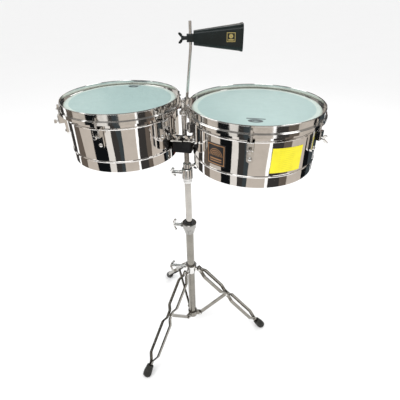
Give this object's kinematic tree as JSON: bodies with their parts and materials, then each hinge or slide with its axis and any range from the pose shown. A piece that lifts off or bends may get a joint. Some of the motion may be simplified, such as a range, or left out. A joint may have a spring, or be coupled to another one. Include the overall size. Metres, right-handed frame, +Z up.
{
  "type": "timbales",
  "caption": "Pair of chrome single-headed drums on a folding double-braced tripod stand, with a black cowbell on a rod.",
  "frame": {"origin": "bottom centre of the bounding box, on the floor between the feet", "axes": "+Z up, +X from the smaller drum to the larger one, +Y away from the player's side with the front leg"},
  "size_m": [0.785, 0.5558, 1.205],
  "materials": {
    "chrome": "polished",
    "shell_chrome": "polished",
    "stand_nickel": "satin polished",
    "drum_head": "frosted film",
    "flesh_hoop": "satin",
    "black_block": "satin powder coat",
    "cowbell_black": "semi-gloss enamel",
    "bush_plastic": "moulded",
    "foot_rubber": "moulded matte",
    "badge": "enamel"
  },
  "bodies": {
    "base": {"base_tube": "stand_nickel", "lower_bracket": "stand_nickel", "lower_pivot_pins": "chrome", "height_clamp": "chrome", "height_clamp_bush": "bush_plastic"},
    "height_screw": {"height_screw": "chrome"},
    "leg_hub": {"leg_hub": "chrome", "hub_pivot_pins": "chrome"},
    "hub_screw": {"hub_screw": "chrome"},
    "middle_tube": {"middle_tube": "stand_nickel", "upper_clamp": "chrome", "upper_clamp_bush": "bush_plastic"},
    "upper_screw": {"upper_screw": "chrome"},
    "upper_post": {"upper_post": "stand_nickel", "memory_collar": "chrome"},
    "memory_collar_screw": {"memory_collar_screw": "chrome"},
    "knuckle": {"tilt_knuckle": "chrome"},
    "mount_head": {"mount_block": "black_block", "tilt_pin": "chrome", "accessory_post": "chrome", "holder_cap_screw": "chrome", "rod_holder": "chrome"},
    "rod_holder_screw": {"rod_holder_screw": "chrome"},
    "left_mount_wing_screw": {"left_mount_wing_screw": "chrome"},
    "right_mount_wing_screw": {"right_mount_wing_screw": "chrome"},
    "cowbell_rod": {"cowbell_rod": "chrome"},
    "cowbell": {"cowbell": "cowbell_black", "cowbell_clamp": "cowbell_black", "cowbell_rivet": "cowbell_black"},
    "cowbell_wing_screw": {"cowbell_wing_screw": "cowbell_black"},
    "left_drum": {"left_shell": "shell_chrome", "left_head": "drum_head", "left_flesh_hoop": "flesh_hoop", "left_rim": "chrome", "left_lugs": "chrome", "left_tension_rods": "chrome", "left_lug_bolts": "chrome", "left_mount_bracket": "chrome"},
    "right_drum": {"right_shell": "shell_chrome", "right_head": "drum_head", "right_flesh_hoop": "flesh_hoop", "right_rim": "chrome", "right_lugs": "chrome", "right_tension_rods": "chrome", "right_lug_bolts": "chrome", "right_mount_bracket": "chrome", "right_badge": "badge"},
    "right_lug_wing_screw": {"right_lug_wing_screw": "chrome"},
    "brace_right": {"brace_right": "stand_nickel"},
    "leg_right": {"leg_right": "stand_nickel", "leg_right_pivot_pin": "chrome", "foot_right": "foot_rubber"},
    "brace_rear": {"brace_rear": "stand_nickel"},
    "leg_rear": {"leg_rear": "stand_nickel", "leg_rear_pivot_pin": "chrome", "foot_rear": "foot_rubber"},
    "brace_front": {"brace_front": "stand_nickel"},
    "leg_front": {"leg_front": "stand_nickel", "leg_front_pivot_pin": "chrome", "foot_front": "foot_rubber"}
  },
  "joints": [
    {"name": "leg_spread", "type": "hinge", "parent": "base", "child": "brace_right", "pos_m": [0.02629, 0.02063, 0.062], "axis": [0.1115, -0.9938, 0], "range_deg": [0, 38]},
    {"name": "leg_right_fold", "type": "hinge", "parent": "brace_right", "child": "leg_right", "pos_m": [0.13807, 0.03317, 0.19606], "axis": [0.1115, -0.9938, 0], "range_deg": [-76, 0]},
    {"name": "brace_rear_fold", "type": "hinge", "parent": "base", "child": "brace_rear", "pos_m": [-0.02768, 0.04421, 0.062], "axis": [0.8049, 0.5934, 0], "range_deg": [0, 38]},
    {"name": "leg_rear_fold", "type": "hinge", "parent": "brace_rear", "child": "leg_rear", "pos_m": [-0.09443, 0.13475, 0.19606], "axis": [0.8049, 0.5934, 0], "range_deg": [-76, 0]},
    {"name": "brace_front_fold", "type": "hinge", "parent": "base", "child": "brace_front", "pos_m": [-0.02111, -0.01432, 0.062], "axis": [-0.9164, 0.4003, 0], "range_deg": [0, 38]},
    {"name": "leg_front_fold", "type": "hinge", "parent": "brace_front", "child": "leg_front", "pos_m": [-0.06615, -0.1174, 0.19606], "axis": [-0.9164, 0.4003, 0], "range_deg": [-76, 0]},
    {"name": "hub_upright", "type": "hinge", "parent": "leg_right", "child": "leg_hub", "pos_m": [0.02629, 0.02063, 0.33012], "axis": [0.1115, -0.9938, 0], "range_deg": [0, 38]},
    {"name": "hub_screw_turn", "type": "hinge", "parent": "leg_hub", "child": "hub_screw", "pos_m": [-0.03731, 0.01349, 0.34212], "axis": [0.9938, 0.1115, 0], "range_deg": [-720, 0]},
    {"name": "height_screw_turn", "type": "hinge", "parent": "base", "child": "height_screw", "pos_m": [-0.02738, 0.01461, 0.55], "axis": [0.9938, 0.1115, 0], "range_deg": [-720, 0]},
    {"name": "middle_tube_height", "type": "slide", "parent": "base", "child": "middle_tube", "axis": [0, 0, 1], "range_m": [-0.15, 0.12]},
    {"name": "upper_screw_turn", "type": "hinge", "parent": "middle_tube", "child": "upper_screw", "pos_m": [-0.02241, 0.01517, 0.768], "axis": [0.9938, 0.1115, 0], "range_deg": [-720, 0]},
    {"name": "upper_post_height", "type": "slide", "parent": "middle_tube", "child": "upper_post", "axis": [0, 0, 1], "range_m": [0, 0.1]},
    {"name": "memory_collar_screw_turn", "type": "hinge", "parent": "upper_post", "child": "memory_collar_screw", "pos_m": [0.00443, 0.01818, 0.79502], "axis": [-0.9938, -0.1115, 0], "range_deg": [-720, 0]},
    {"name": "head_swivel", "type": "hinge", "parent": "upper_post", "child": "knuckle", "pos_m": [-0.0075, 0.01684, 0.86998], "axis": [0, 0, 1], "range_deg": [-180, 180]},
    {"name": "head_tilt", "type": "hinge", "parent": "knuckle", "child": "mount_head", "pos_m": [-0.0075, 0.01684, 0.86998], "axis": [1, 0, 0], "range_deg": [-15, 15]},
    {"name": "rod_holder_screw_turn", "type": "hinge", "parent": "mount_head", "child": "rod_holder_screw", "pos_m": [-0.013, 0.07684, 0.9915], "axis": [0, -1, 0], "range_deg": [-720, 0]},
    {"name": "left_drum_slide", "type": "slide", "parent": "mount_head", "child": "left_drum", "axis": [-1, 0, 0], "range_m": [0, 0.01]},
    {"name": "right_drum_slide", "type": "slide", "parent": "mount_head", "child": "right_drum", "axis": [1, 0, 0], "range_m": [0, 0.01]},
    {"name": "left_mount_wing_screw_turn", "type": "hinge", "parent": "mount_head", "child": "left_mount_wing_screw", "pos_m": [-0.0295, -0.00516, 0.89198], "axis": [0, 0, -1], "range_deg": [-720, 0]},
    {"name": "right_mount_wing_screw_turn", "type": "hinge", "parent": "mount_head", "child": "right_mount_wing_screw", "pos_m": [0.0065, -0.00316, 0.89198], "axis": [0, 0, -1], "range_deg": [-720, 0]},
    {"name": "cowbell_rod_slide", "type": "slide", "parent": "mount_head", "child": "cowbell_rod", "axis": [0.108, 0, 0.9942], "range_m": [-0.03, 0.04]},
    {"name": "cowbell_swivel", "type": "hinge", "parent": "cowbell_rod", "child": "cowbell", "pos_m": [0.00313, 0.06584, 1.1635], "axis": [0, 0, 1], "range_deg": [-150, 150]},
    {"name": "cowbell_wing_screw_turn", "type": "hinge", "parent": "cowbell", "child": "cowbell_wing_screw", "pos_m": [0.00313, 0.06584, 1.1635], "axis": [0.9774, 0.2113, 0], "range_deg": [-720, 0]},
    {"name": "right_lug_wing_screw_turn", "type": "hinge", "parent": "right_drum", "child": "right_lug_wing_screw", "pos_m": [0.37192, -0.06912, 0.953], "axis": [-0.8746, 0.4848, 0], "range_deg": [-720, 0]}
  ],
  "couplings": [
    {"joint": "leg_right_fold", "follows": "leg_spread", "ratio": -2},
    {"joint": "brace_rear_fold", "follows": "leg_spread", "ratio": 1},
    {"joint": "leg_rear_fold", "follows": "leg_spread", "ratio": -2},
    {"joint": "brace_front_fold", "follows": "leg_spread", "ratio": 1},
    {"joint": "leg_front_fold", "follows": "leg_spread", "ratio": -2},
    {"joint": "hub_upright", "follows": "leg_spread", "ratio": 1}
  ]
}
